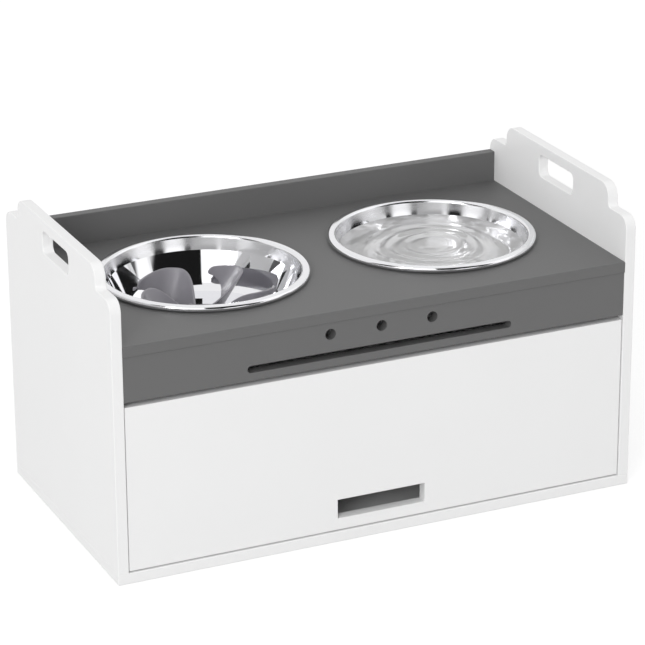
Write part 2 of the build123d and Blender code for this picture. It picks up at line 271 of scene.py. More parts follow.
@dataclass(frozen=True)
class Finish:
    """A surface finish, with the look that all pieces made of it share.

    The tones are the darkest and the lightest share of its colour, and the roughness is the
    middle of what its noises swing it by.
    """

    name: str
    color: Color
    roughness: float
    tones: tuple[float, float] = (1.0, 1.0)

    def build(self) -> bpy.types.Material:
        """Make the material.

        Returns:
            A material with its nodes.
        """
        material = bpy.data.materials.new(self.name)
        material.use_nodes = True
        material.diffuse_color = (*self.color, 1.0)
        graph = Graph(material.node_tree)
        inputs = {"Base Color": (*self.color, 1.0), "Roughness": self.roughness}
        inputs.update(self.constants())
        inputs.update(self.dress(graph))
        surface = graph.add("ShaderNodeBsdfPrincipled", None, inputs)
        graph.add("ShaderNodeOutputMaterial", None, {"Surface": surface})
        return material

    def material(self) -> bpy.types.Material:
        """The one material of this finish, made when it is first asked for."""
        return bpy.data.materials.get(self.name) or self.build()

    def constants(self) -> dict:
        """Values of the shader that are the same all over."""
        return {}

    def dress(self, graph: Graph) -> dict:
        """Wires of the shader that change over the surface."""
        return {}

    def toned(self, graph: Graph, share: Wire) -> Wire:
        """The colour between its darkest tone, where the share is 0, and its lightest."""
        return graph.mix(share, *(shade(self.color, tone) for tone in self.tones))

    def rough(self, *noises: tuple[Wire, Pattern]) -> Wire:
        """The roughness, which noises swing about its middle."""
        least = self.roughness - sum(pattern.swing for _, pattern in noises) / 2
        return sum((noise * pattern.swing for noise, pattern in noises), least)


@dataclass(frozen=True)
class PaintedBoard(Finish):
    """Satin paint on fibreboard: faint roller texture and a hardly uneven tone."""

    tones: tuple[float, float] = (0.985, 1.015)
    cloud: Pattern = Pattern(7.0, 3.0)
    peel: Pattern = Pattern(650.0, 2.0, 0.06)
    pores: Pattern = Pattern(2600.0, 1.0, 0.05)
    peel_share: float = 0.75
    texture_depth: float = 0.02 * MM

    def dress(self, graph: Graph) -> dict:
        """Paint with fine orange peel.

        Args:
            graph: the material's nodes.

        Returns:
            The shader's wires.
        """
        peel, pores = graph.noise(self.peel), graph.noise(self.pores)
        texture = peel * self.peel_share + pores * (1 - self.peel_share)
        return {
            "Base Color": self.toned(graph, graph.noise(self.cloud)),
            "Roughness": self.rough((peel, self.peel), (pores, self.pores)),
            "Normal": graph.bump(texture, self.texture_depth),
        }


@dataclass(frozen=True)
class SpunSteel(Finish):
    """Mirror-polished stainless steel with the faint rings of the polishing wheel."""

    tones: tuple[float, float] = (0.985, 1.0)
    axis: Point = (0.0, 0.0)
    wheel: Pattern = Pattern(1400.0, 3.0, 0.02)
    smear: Pattern = Pattern(35.0, 3.0, 0.015)
    ring_depth: float = 0.0008 * MM
    satin_from: float = 101.0 * MM
    satin_to: float = 103.0 * MM
    satin: float = 0.15
    bead_from: float = 106.5 * MM
    bead_to: float = 108.5 * MM
    bead_polish: float = 0.6

    def constants(self) -> dict:
        """Bare metal."""
        return {"Metallic": 1.0}

    def dress(self, graph: Graph) -> dict:
        """Rings round the piece's own axis.

        Args:
            graph: the material's nodes.

        Returns:
            The shader's wires.
        """
        away = graph.add(
            "ShaderNodeVectorMath",
            {"operation": "SUBTRACT"},
            {0: graph.coordinates(), 1: (*self.axis, 0.0)},
        )
        x, y, _ = graph.split(away)
        radius = (x**2 + y**2) ** 0.5
        rings, smear = graph.rings(self.wheel, radius), graph.noise(self.smear)
        polish = self.rough((rings, self.wheel), (smear, self.smear))
        band = radius.step(self.satin_from, self.satin_to)
        bead = radius.step(self.bead_from, self.bead_to) * self.bead_polish
        return {
            "Base Color": self.toned(graph, smear),
            "Roughness": polish + band * (1 - bead) * self.satin,
            "Normal": graph.bump(rings, self.ring_depth),
        }


@dataclass(frozen=True)
class MouldedPlastic(Finish):
    """Satin moulded plastic with a fine spark-eroded grain."""

    tones: tuple[float, float] = (0.97, 1.03)
    grain: Pattern = Pattern(3200.0, 2.0, 0.04)
    flow: Pattern = Pattern(22.0, 2.0, 0.08)
    grain_depth: float = 0.012 * MM
    index: float = 1.49
    sheen: float = 0.0
    sheen_roughness: float = 0.4

    def constants(self) -> dict:
        """Refractive index of a food-grade plastic, and a soft sheen."""
        soft = {"Sheen Weight": self.sheen, "Sheen Roughness": self.sheen_roughness}
        return {"IOR": self.index, **soft}

    def dress(self, graph: Graph) -> dict:
        """Grain, and flow marks that change the gloss.

        Args:
            graph: the material's nodes.

        Returns:
            The shader's wires.
        """
        grain, flow = graph.noise(self.grain), graph.noise(self.flow)
        return {
            "Base Color": self.toned(graph, flow),
            "Roughness": self.rough((flow, self.flow), (grain, self.grain)),
            "Normal": graph.bump(grain, self.grain_depth),
        }


@dataclass(frozen=True)
class PlatedSteel(Finish):
    """Zinc-plated steel, with a mottled passivation and fine scratches."""

    tones: tuple[float, float] = (0.86, 1.1)
    mottle: Pattern = Pattern(160.0, 4.0, 0.16)
    scratches: Pattern = Pattern(240.0, 3.0, 0.12)
    scratch_way: tuple[float, float, float] = (1.0, 14.0, 14.0)
    scratch_depth: float = 0.012 * MM

    def constants(self) -> dict:
        """Bare metal."""
        return {"Metallic": 1.0}

    def dress(self, graph: Graph) -> dict:
        """Mottle and scratches.

        Args:
            graph: the material's nodes.

        Returns:
            The shader's wires.
        """
        mottle = graph.noise(self.mottle)
        scratches = graph.noise(self.scratches, graph.stretched(self.scratch_way))
        return {
            "Base Color": self.toned(graph, mottle),
            "Roughness": self.rough((mottle, self.mottle), (scratches, self.scratches)),
            "Normal": graph.bump(scratches, self.scratch_depth),
        }


@dataclass(frozen=True)
class Ferrite(Finish):
    """A sintered black magnet with a gritty face."""

    tones: tuple[float, float] = (0.7, 1.5)
    grit: Pattern = Pattern(1500.0, 4.0, 0.2)
    grit_depth: float = 0.05 * MM

    def dress(self, graph: Graph) -> dict:
        """Grit of the sinter.

        Args:
            graph: the material's nodes.

        Returns:
            The shader's wires.
        """
        grit = graph.noise(self.grit)
        return {
            "Base Color": self.toned(graph, grit),
            "Roughness": self.rough((grit, self.grit)),
            "Normal": graph.bump(grit, self.grit_depth),
        }


@dataclass(frozen=True)
class Beech(Finish):
    """Plain beech with a straight grain and short dark flecks."""

    rings: Pattern = Pattern(900.0, 3.0, 0.15)
    ring_edges: tuple[float, float] = (0.35, 0.7)
    ring_color: Color = (0.42, 0.27, 0.14)
    ring_depth: float = 0.05 * MM
    flecks: Pattern = Pattern(2600.0, 1.0)
    fleck_edges: tuple[float, float] = (0.58, 0.7)
    fleck_tone: float = 0.55
    fleck_cover: float = 0.5
    grain_way: tuple[float, float, float] = (0.12, 1.0, 1.0)

    def dress(self, graph: Graph) -> dict:
        """Grain along X and flecks.

        Args:
            graph: the material's nodes.

        Returns:
            The shader's wires.
        """
        along = graph.stretched(self.grain_way)
        rings = graph.noise(self.rings, along)
        flecks = graph.noise(self.flecks, along).step(*self.fleck_edges) * self.fleck_cover
        wood = graph.mix(rings.step(*self.ring_edges), self.color, self.ring_color)
        return {
            "Base Color": graph.mix(flecks, wood, shade(self.ring_color, self.fleck_tone)),
            "Roughness": self.rough((rings, self.rings)),
            "Normal": graph.bump(rings, self.ring_depth),
        }


@dataclass(frozen=True)
class ClearWater(Finish):
    """Drinking water that lets just over half of the light through."""

    ripples: Pattern = Pattern(110.0, 3.0)
    ripple_depth: float = 0.16 * MM
    clearness: float = 0.55
    index: float = 1.333

    def constants(self) -> dict:
        """Water lets the light through and bends it."""
        return {"Transmission Weight": self.clearness, "IOR": self.index}

    def dress(self, graph: Graph) -> dict:
        """Very fine ripples on top of the modelled ones.

        Args:
            graph: the material's nodes.

        Returns:
            The shader's wires.
        """
        return {"Normal": graph.bump(graph.noise(self.ripples), self.ripple_depth)}


class Palette(Enum):
    """The finishes of the feeder, in linear colour."""

    WHITE_BOARD = PaintedBoard("white_paint", (0.88, 0.88, 0.88), 0.42)
    GREY_BOARD = PaintedBoard("grey_paint", (0.13, 0.13, 0.13), 0.5)
    STEEL = SpunSteel("bowl_steel", (0.925, 0.925, 0.945), 0.0355)
    INSERT = MouldedPlastic("insert_plastic", (0.26, 0.252, 0.278), 0.32, sheen=0.15)
    WHITE_PLASTIC = MouldedPlastic("white_plastic", (0.74, 0.74, 0.73), 0.45)
    ZINC = PlatedSteel("zinc_plate", (0.6, 0.61, 0.62), 0.34)
    DIE_CAST = PlatedSteel(
        "die_cast_zinc", (0.5, 0.5, 0.51), 0.48, mottle=Pattern(420.0, 4.0, 0.16)
    )
    FERRITE = Ferrite("ferrite", (0.045, 0.045, 0.048), 0.7)
    BEECH = Beech("beech", (0.62, 0.44, 0.26), 0.625)
    WATER = ClearWater("drinking_water", (0.88, 0.88, 0.88), 0.03)


# ---------------------------------------------------------------------------------- mesh helpers


def dress(piece: bpy.types.Object, finish: Finish) -> None:
    """Give a whole piece one finish."""
    piece.data.materials.clear()
    piece.data.materials.append(finish.material())


def make_piece(name: str, mesh: bmesh.types.BMesh, smooth_below: float = 35.0) -> bpy.types.Object:
    """Turn a bmesh into an object of the scene.

    Args:
        name: the piece's name.
        mesh: the finished bmesh, which is freed.
        smooth_below: edges that turn by fewer degrees are shaded smooth.

    Returns:
        The new object.
    """
    bmesh.ops.recalc_face_normals(mesh, faces=mesh.faces)
    limit = math.radians(smooth_below)
    for face in mesh.faces:
        face.smooth = True
    for edge in mesh.edges:
        edge.smooth = len(edge.link_faces) == 2 and edge.calc_face_angle(0.0) < limit
    data = bpy.data.meshes.new(name)
    mesh.to_mesh(data)
    mesh.free()
    piece = bpy.data.objects.new(name, data)
    bpy.context.scene.collection.objects.link(piece)
    return piece


def rounded_line(corners: list[Point], radii: list[float], step: float = 6.0) -> list[Point]:
    """Round the inner corners of a polyline with arcs.

    Args:
        corners: the polyline's corners.
        radii: one radius for each inner corner.
        step: degrees between the points of an arc.

    Returns:
        The points of the rounded line.
    """
    line = [Vector(corners[0])]
    for before, corner, after, radius in zip(corners, corners[1:], corners[2:], radii):
        corner = Vector(corner)
        back, ahead = (Vector(before) - corner).normalized(), (Vector(after) - corner).normalized()
        half = back.angle(ahead) / 2
        middle = corner + (back + ahead).normalized() * radius / math.sin(half)
        start = corner + back * radius / math.tan(half) - middle
        side = back.x * ahead.y - back.y * ahead.x
        turn = -math.copysign(math.pi - 2 * half, side)
        count = max(2, round(abs(math.degrees(turn)) / step))
        line += [middle + Matrix.Rotation(turn * i / count, 2) @ start for i in range(count + 1)]
    line.append(Vector(corners[-1]))
    return [tuple(p) for p in line]


def arc(middle: Point, radius: float, start: float, sweep: float, step: float = 8.0) -> list[Point]:
    """Points of an arc.

    Args:
        middle: its centre.
        radius: its radius.
        start: direction of its first point, in degrees.
        sweep: degrees that it turns, anticlockwise when positive.
        step: degrees between two points.

    Returns:
        The points.
    """
    count = max(2, round(abs(sweep) / step))
    angles = [math.radians(start + sweep * i / count) for i in range(count + 1)]
    return [(middle[0] + radius * math.cos(a), middle[1] + radius * math.sin(a)) for a in angles]


def offset_line(line: list[Point], distance: float) -> list[Point]:
    """Shift a line to its left by a distance.

    Args:
        line: points of the line.
        distance: metres to the left.

    Returns:
        As many points.
    """
    moved = []
    for i, point in enumerate(line):
        before, after = Vector(line[max(i - 1, 0)]), Vector(line[min(i + 1, len(line) - 1)])
        here = Vector(point)
        runs = [run for run in (here - before, after - here) if run.length > 0]
        ways = [run.normalized() for run in runs]
        normals = [Vector((-w.y, w.x)) for w in ways]
        normal = sum(normals, Vector((0.0, 0.0))).normalized()
        mitre = max(normal.dot(normals[0]), SHARPEST_MITRE)
        moved.append(tuple(here + normal * distance / mitre))
    return moved


def lathe(
    name: str,
    outline: list[Point],
    axis: Point,
    segments: int,
    lift: Optional[Callable[[float, float, float], float]] = None,
    mesh: Optional[bmesh.types.BMesh] = None,
) -> Optional[bpy.types.Object]:
    """Revolve a closed outline round an upright axis.

    Args:
        name: the piece's name.
        outline: radius and height of each point; the ends are joined unless both lie on the axis.
        axis: where the axis stands.
        segments: steps round the axis.
        lift: rise of a point, from its radius, its angle and its height.
        mesh: a bmesh that the surface joins, instead of making a piece.

    Returns:
        The piece, or None where the surface joined a bmesh.
    """
    target = mesh if mesh is not None else bmesh.new()
    rings = []
    for radius, height in outline:
        on_axis = radius < ON_AXIS
        ring = []
        for i in range(1 if on_axis else segments):
            angle = 2 * math.pi * i / segments
            rise = lift(radius, angle, height) if lift else 0.0
            x, y = axis[0] + radius * math.cos(angle), axis[1] + radius * math.sin(angle)
            ring.append(target.verts.new((x, y, height + rise)))
        rings.append(ring)
    pairs = list(zip(rings, rings[1:]))
    if len(rings[0]) > 1 or len(rings[-1]) > 1:
        pairs.append((rings[-1], rings[0]))
    for low, high in pairs:
        for i in range(segments):
            j = (i + 1) % segments
            lower = (low[i % len(low)], low[j % len(low)])
            upper = (high[j % len(high)], high[i % len(high)])
            corners = list(dict.fromkeys(lower + upper))
            if len(corners) > 2:
                target.faces.new(corners)
    return None if mesh is not None else make_piece(name, target)


def bridge(mesh: bmesh.types.BMesh, loops: list[list[Vector]]) -> None:
    """Skin a row of closed loops and close both ends.

    Args:
        mesh: the bmesh that gets the skin.
        loops: loops with as many points each.
    """
    rows = [[mesh.verts.new(p) for p in loop] for loop in loops]
    count = len(rows[0])
    for low, high in zip(rows, rows[1:]):
        for i in range(count):
            j = (i + 1) % count
            mesh.faces.new((low[i], low[j], high[j], high[i]))
    mesh.faces.new(rows[0][::-1])
    mesh.faces.new(rows[-1])


def node_axis(node: str) -> Point:
    """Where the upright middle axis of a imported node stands."""
    low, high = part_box(node)
    return ((low.x + high.x) / 2, (low.y + high.y) / 2)


# ------------------------------------------------------------------------------------ the bowls


@dataclass
class Bowl:
    """A spun steel bowl with a rolled rim, which hangs in its cut-out."""

    name: str
    node: str
    body: str
    finish: SpunSteel = Palette.STEEL.value
    wall: float = 1.0 * MM
    depth: float = 50.0 * MM
    table_level: float = 262.0 * MM
    heel_corner: float = 84.0 * MM
    heel_radius: float = 24.0 * MM
    crease_radius: float = 101.0 * MM
    crease_drop: float = 8.7 * MM
    band_radius: float = 105.0 * MM
    rim_radius: float = 111.2 * MM
    bead_radius: float = 3.3 * MM
    bead_sweep: float = 235.0
    bend: float = 1.6 * MM
    rim_bend: float = 2.5 * MM
    bend_step: float = 3.0
    rim_lift: float = 0.3 * MM
    segments: int = 288

    def underside(self) -> list[Point]:
        """The outer line of the sheet, from the axis to the top of the bead.

        Returns:
            Radius and height of each point.
        """
        rim_top = self.bead_level() + self.bead_radius - self.wall
        corners = [
            (0.0, self.table_level - self.depth),
            (self.heel_corner + self.wall, self.table_level - self.depth),
            (self.crease_radius + self.wall, self.table_level - self.crease_drop),
            (self.band_radius + self.wall, rim_top),
            (self.rim_radius, rim_top),
        ]
        radii = [self.heel_radius, self.bend, self.rim_bend]
        return rounded_line(corners, radii, self.bend_step)

    def bead_level(self) -> float:
        """Height of the middle of the bead."""
        return self.table_level + self.rim_lift + self.bead_radius

    def build(self) -> bpy.types.Object:
        """Spin the sheet.

        Returns:
            The bowl.
        """
        axis = node_axis(self.node)
        middle = (self.rim_radius, self.bead_level())
        roll = arc(middle, self.bead_radius - self.wall, 90.0, -self.bead_sweep)
        line = self.underside()[:-1] + roll
        outline = line + offset_line(line, self.wall)[::-1]
        outline[-1] = (0.0, outline[-1][1])
        piece = lathe(self.name, outline, axis, self.segments)
        dress(piece, replace(self.finish, name=f"{self.node}_steel", axis=axis))
        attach(piece, self.body)
        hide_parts(self.node)
        return piece


@dataclass
class Water:
    """Rippled drinking water that fills a bowl up to its crease."""

    WARP_SCALE: ClassVar[float] = 0.9
    WARP_SEED: ClassVar[Vector] = Vector((3.1, 7.7, 0.0))
    SWELLS: ClassVar[tuple[tuple[float, float], ...]] = ((1.7, 1.0), (4.0, 0.5))

    bowl: Bowl
    name: str = "drinking_water"
    level: float = 253.6 * MM
    seam: float = 0.5 * MM
    bank_slope: float = 0.3
    shore: float = 8.0 * MM
    rings: int = 110
    ring_spacing: float = 17.0 * MM
    ring_height: float = 0.95 * MM
    crest_radius: float = 46.0 * MM
    crest_width: float = 24.0 * MM
    swell_height: float = 0.1 * MM
    swell_scale: float = 20.0
    warp: float = 6.0 * MM

    def ripple(self, radius: float, angle: float, height: float) -> float:
        """Rise of the surface at a point.

        Args:
            radius: distance from the axis.
            angle: direction round the axis.
            height: height of the still point, to tell the surface from the bed.

        Returns:
            The rise in metres.
        """
        if height < self.level:
            return 0.0
        fade = math.exp(-(((radius - self.crest_radius) / self.crest_width) ** 2))
        edge = min(1.0, max(0.0, (self.bowl.crease_radius - radius) / self.shore))
        place = Vector((radius * math.cos(angle), radius * math.sin(angle), 0.0)) * self.swell_scale
        warp = noise.noise(place * self.WARP_SCALE + self.WARP_SEED) * self.warp
        waves = math.cos(2 * math.pi * (radius + warp) / self.ring_spacing)
        swell = sum(noise.noise(place * scale) * share for scale, share in self.SWELLS)
        return edge * (self.ring_height * fade * waves + self.swell_height * swell)

    def build(self) -> bpy.types.Object:
        """Fill the bowl: a rippled surface over a bed that lies inside the steel.

        Returns:
            The water.
        """
        bed = [p for p in offset_line(self.bowl.underside(), self.seam) if p[1] < self.level]
        edge = bed[-1][0] + (self.level - bed[-1][1]) * self.bank_slope
        surface = [(edge * i / self.rings, self.level) for i in range(self.rings, -1, -1)]
        bed[0] = (0.0, bed[0][1])
        surface[-1] = (0.0, self.level)
        axis = node_axis(self.bowl.node)
        piece = lathe(self.name, bed + surface, axis, self.bowl.segments, self.ripple)
        dress(piece, Palette.WATER.value)
        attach(piece, self.bowl.body)
        return piece


# ------------------------------------------------------------------------- the slow-feeder insert


@dataclass
class SwirlInsert:
    """The moulded insert: hooked blades that lean over as they swirl out of a low hub."""

    HALVINGS: ClassVar[int] = 40
    SLIMMEST: ClassVar[float] = 0.02

    name: str = "swirl_insert"
    node: str = "slow_feeder"
    bowl: str = "food_bowl"
    count: int = 5
    thickness: float = 2.6 * MM
    height: float = 37.5 * MM
    arc_radius: float = 34.5 * MM
    arc_middle: float = 45.5 * MM
    sweep: float = 157.0
    start: float = 176.0
    turn: float = 85.0
    lean: float = 30.0
    lean_turn: float = 245.0
    root_height: float = 9.0 * MM
    root_slope: float = 0.3
    crest_radius: float = 60.0 * MM
    corner: float = 11.0 * MM
    reach: float = 76.6 * MM
    tip_height: float = 23.0 * MM
    tip_round: float = 5.0 * MM
    foot_reach: float = 57.6 * MM
    hub_radius: float = 12.0 * MM
    hub_round: float = 3.0 * MM
    foot_radius: float = 36.0 * MM
    foot: float = 2.0 * MM
    crown: float = 1 / 3
    steps: int = 90
    tip_steps: int = 12
    crown_steps: int = 8
    rows: int = 14
    hub_segments: int = 96

    def top(self, radius: float) -> float:
        """Find the level of a blade's upper edge, from the hub to the rounded corner at its reach.

        Args:
            radius: distance from the axis.

        Returns:
            The height above the floor of the bowl.
        """
        if radius < self.crest_radius:
            span = self.crest_radius - self.hub_radius
            share = max(0.0, (radius - self.hub_radius) / span)
            rise = (self.height - self.root_height) * share**2 * (3 - 2 * share)
            return self.root_height + rise + self.root_slope * span * share * (1 - share) ** 2
        over = max(0.0, radius - self.reach + self.corner)
        return self.height - self.corner + math.sqrt(max(0.0, self.corner**2 - over**2))

    def bottom(self, radius: float) -> float:
        """Height of a blade's lower edge at a distance from the axis."""
        return max(0.0, radius - self.foot_reach) * self.tip_height / (self.reach - self.foot_reach)

    def level(self, place: Vector, lean: Vector, edge: Callable[[float], float]) -> float:
        """Height at which a leaning line from the floor meets an edge.

        Args:
            place: where the line leaves the floor.
            lean: the line's run for each unit of its rise.
            edge: the edge's height at a distance from the axis.

        Returns:
            The height.
        """
        height = self.height / 2
        for _ in range(self.HALVINGS):
            height = (height + edge((place + lean * height).xy.length)) / 2
        return height

    def section(
        self, place: Vector, side: Vector, lean: Vector, slim: float, tall: float
    ) -> list[Vector]:
        """A closed loop across a blade, with a rounded upper edge.

        Args:
            place: the point of the blade's middle line on the floor.
            side: unit vector across the blade.
            lean: the blade's run for each unit of its rise.
            slim: share of the full thickness.
            tall: share of the full height, kept about its middle.

        Returns:
            The loop's points.
        """
        half = self.thickness / 2 * slim
        cap = self.thickness * self.crown
        low = self.level(place, lean, self.bottom)
        high = max(low + cap, self.level(place, lean, self.top) - cap)
        middle = (low + high) / 2
        low, high = middle + (low - middle) * tall, middle + (high - middle) * tall
        heights = [low + (high - low) * i / self.rows for i in range(self.rows + 1)]
        points = [place + side * half + lean * z for z in heights]
        for i in range(1, self.crown_steps):
            a = math.pi * i / self.crown_steps
            points.append(place + side * half * math.cos(a) + lean * (high + cap * math.sin(a)))
        return points + [place - side * half + lean * z for z in reversed(heights)]

    def rounding(self, left: float, radius: float) -> float:
        """Share of the full size that a round end has at a distance from its tip."""
        short = max(0.0, 1.0 - left / radius)
        return max(self.SLIMMEST, math.sqrt(max(0.0, 1.0 - short**2)))

    def blade(self, mesh: bmesh.types.BMesh, origin: Vector, direction: float) -> None:
        """Add one blade.

        Args:
            mesh: the insert's bmesh.
            origin: the insert's middle on the floor of the bowl.
            direction: where the blade's arc lies, in degrees.
        """
        turn = Matrix.Rotation(math.radians(direction), 3, "Z")
        run = math.tan(math.radians(self.lean))
        way = math.radians(self.lean_turn)
        lean = Vector((math.cos(way) * run, math.sin(way) * run, 1.0))
        end = self.sweep + math.degrees(self.thickness / 2 / self.arc_radius)
        tip = math.degrees(self.tip_round / self.arc_radius)
        angles = [(end - tip) * i / self.steps for i in range(self.steps)]
        quarter = [math.pi / 2 * i / self.tip_steps for i in range(self.tip_steps + 1)]
        angles += [end - tip + tip * math.sin(a) for a in quarter]
        loops = []
        for angle in angles:
            left = math.radians(end - angle) * self.arc_radius
            slim = self.rounding(left, self.thickness / 2)
            tall = self.rounding(left, self.tip_round)
            a = math.radians(self.start + angle)
            side = Vector((math.cos(a), math.sin(a), 0.0))
            place = Vector((self.arc_middle, 0.0, 0.0)) + side * self.arc_radius
            loops.append([origin + turn @ p for p in self.section(place, side, lean, slim, tall)])
        bridge(mesh, loops)

    def build(self) -> bpy.types.Object:
        """Mould the insert.

        Returns:
            The insert.
        """
        x, y = node_axis(self.bowl)
        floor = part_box(self.node)[0].z
        mesh = bmesh.new()
        for i in range(self.count):
            self.blade(mesh, Vector((x, y, floor)), self.turn + 360.0 * i / self.count)
        corners = [
            (0.0, self.root_height),
            (self.hub_radius, self.root_height),
            (self.hub_radius, self.foot),
            (self.foot_radius, self.foot),
        ]
        outline = rounded_line(corners, [self.hub_round, self.foot])
        outline = [(r, z + floor) for r, z in outline + [(self.foot_radius, 0.0), (0.0, 0.0)]]
        lathe(self.name, outline, (x, y), self.hub_segments, mesh=mesh)
        piece = make_piece(self.name, mesh)
        dress(piece, Palette.INSERT.value)
        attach(piece, "feeder_insert")
        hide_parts(self.node)
        return piece


# ---------------------------------------------------------------------------- boards and fittings


@dataclass
class Cabinet:
    """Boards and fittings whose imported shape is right, and which only get their finish."""

    nodes: dict[str, bpy.types.Object]
    finishes: dict[Palette, tuple[str, ...]] = field(
        default_factory=lambda: {
            Palette.WHITE_BOARD: (
                "base_plate",
                "left_side_panel",
                "right_side_panel",
                "back_panel",
                "door",
            ),
            Palette.GREY_BOARD: ("tabletop", "backsplash", "apron"),
            Palette.WHITE_PLASTIC: ("door_bushes", "catch_housings"),
            Palette.FERRITE: ("catch_magnets",),
        }
    )
    endings: dict[str, Palette] = field(
        default_factory=lambda: {
            "_cams": Palette.DIE_CAST,
            "_dowels": Palette.BEECH,
            "_bolts": Palette.ZINC,
            "_screws": Palette.ZINC,
            "_plates": Palette.ZINC,
            "_pins": Palette.ZINC,
        }
    )
    smooth_below: float = 30.0

    def finish_of(self, name: str) -> Optional[Palette]:
        """Look up the finish of a node.

        Args:
            name: the node's name.

        Returns:
            The finish, or None for the bowls and the insert, which are made anew.
        """
        for finish, names in self.finishes.items():
            if name in names:
                return finish
        return next((f for ending, f in self.endings.items() if name.endswith(ending)), None)

    def dress(self) -> None:
        """Give every node its finish and shade its round faces smooth."""
        for name, node in self.nodes.items():
            finish = self.finish_of(name)
            if finish is None:
                continue
            dress(node, finish.value)
            node.data.polygons.foreach_set("use_smooth", [True] * len(node.data.polygons))
            node.data.set_sharp_from_angle(angle=math.radians(self.smooth_below))
            log.info("%s: %s", name, finish.value.name)


@dataclass(frozen=True)
class Recess:
    """A tapered cross recess for a driver.

    The arm is half the cross's span, and the width is that of an arm.
    """

    arm: float
    width: float
    depth: float
    taper: float = 0.55

    def loops(self) -> list[list[Vector]]:
        """Draw the cross above, at and below the face of a head, which looks along +Z.

        Returns:
            The three loops, from above the face to the bottom of the recess.
        """
        a, b = self.arm, self.width / 2
        cross = [(a, -b), (a, b), (b, b), (b, a), (-b, a), (-b, b)]
        cross += [(-x, -y) for x, y in cross]
        levels = ((self.depth, 1.0), (0.0, 1.0), (-self.depth, self.taper))
        return [[Vector((x * share, y * share, rise)) for x, y in cross] for rise, share in levels]


class Driver(Enum):
    """The cross recesses of the screws."""

    SMALL = Recess(1.6 * MM, 0.7 * MM, 0.9 * MM)
    LARGE = Recess(2.4 * MM, 1.0 * MM, 1.3 * MM)


@dataclass
class DrivenScrews:
    """Wood screws of one node, with a cross recess cut into every head."""

    node: bpy.types.Object
    body: str
    driver: Driver
    slot: str = "fitting_steel"
    weld: float = 0.001 * MM
    face_depth: float = 0.1 * MM

    def shapes(self, mesh: bmesh.types.BMesh) -> list[list[Vector]]:
        """Part the mesh into its separate screws.

        Args:
            mesh: all screws of the node.

        Returns:
            The corners of each screw, in a fixed order.
        """
        left, found = set(mesh.verts), []
        while left:
            todo, screw = [left.pop()], []
            while todo:
                vert = todo.pop()
                screw.append(vert.co.copy())
                near = {edge.other_vert(vert) for edge in vert.link_edges} & left
                left -= near
                todo.extend(near)
            found.append(screw)
        return sorted(found, key=lambda screw: min(tuple(p) for p in screw))

    def head(self, screw: list[Vector]) -> tuple[Vector, Vector]:
        """Find the wider end of a screw.

        Args:
            screw: the screw's corners.

        Returns:
            Middle of the head's face and the direction that it faces.
        """
        low, high = (Vector(pick(p[k] for p in screw) for k in range(3)) for pick in (min, max))
        size, middle = high - low, (low + high) / 2
        axis = max(range(3), key=lambda k: size[k])
        ends = []
        for way, level in ((-1, low[axis]), (1, high[axis])):
            face = [p for p in screw if abs(p[axis] - level) < self.face_depth]
            place = middle.copy()
            place[axis] = level
            out = Vector((0.0, 0.0, 0.0))
            out[axis] = way
            ends.append((max((p - place).length for p in face), place, out))
        return max(ends, key=lambda end: end[0])[1:]

    def recess(self, mesh: bmesh.types.BMesh, place: Vector, out: Vector) -> None:
        """Add the closed shape that is cut out of one head."""
        turn = out.to_track_quat("Z", "Y")
        bridge(mesh, [[place + turn @ p for p in loop] for loop in self.driver.value.loops()])

    def build(self) -> bpy.types.Object:
        """Cut the recesses.

        Returns:
            The screws.
        """
        name = self.node.name
        mesh, cuts = bmesh.new(), bmesh.new()
        mesh.from_mesh(self.node.data)
        bmesh.ops.remove_doubles(mesh, verts=mesh.verts, dist=self.weld)
        for screw in self.shapes(mesh):
            self.recess(cuts, *self.head(screw))
        piece, cutter = make_piece(f"{name}_driven", mesh), make_piece(f"{name}_cutter", cuts)
        cut = piece.modifiers.new("recess", "BOOLEAN")
        cut.object, cut.operation, cut.solver = cutter, "DIFFERENCE", "EXACT"
        done = piece.evaluated_get(bpy.context.evaluated_depsgraph_get())
        piece.data = bpy.data.meshes.new_from_object(done)
        piece.modifiers.clear()
        bpy.data.objects.remove(cutter)
        dress(piece, Palette.ZINC.value)
        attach(piece, self.body)
        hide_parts(name)
        return piece


# ---------------------------------------------------------------------------------- the studio


@dataclass(frozen=True)
class Card:
    """A studio card that only polished metal and glass can see.

    Azimuth 0 is in front of the feeder and +90 is on its right.
    """

    azimuth: float
    half_width: float
    low: float
    high: float
    level: float
    soft: float = 4.0


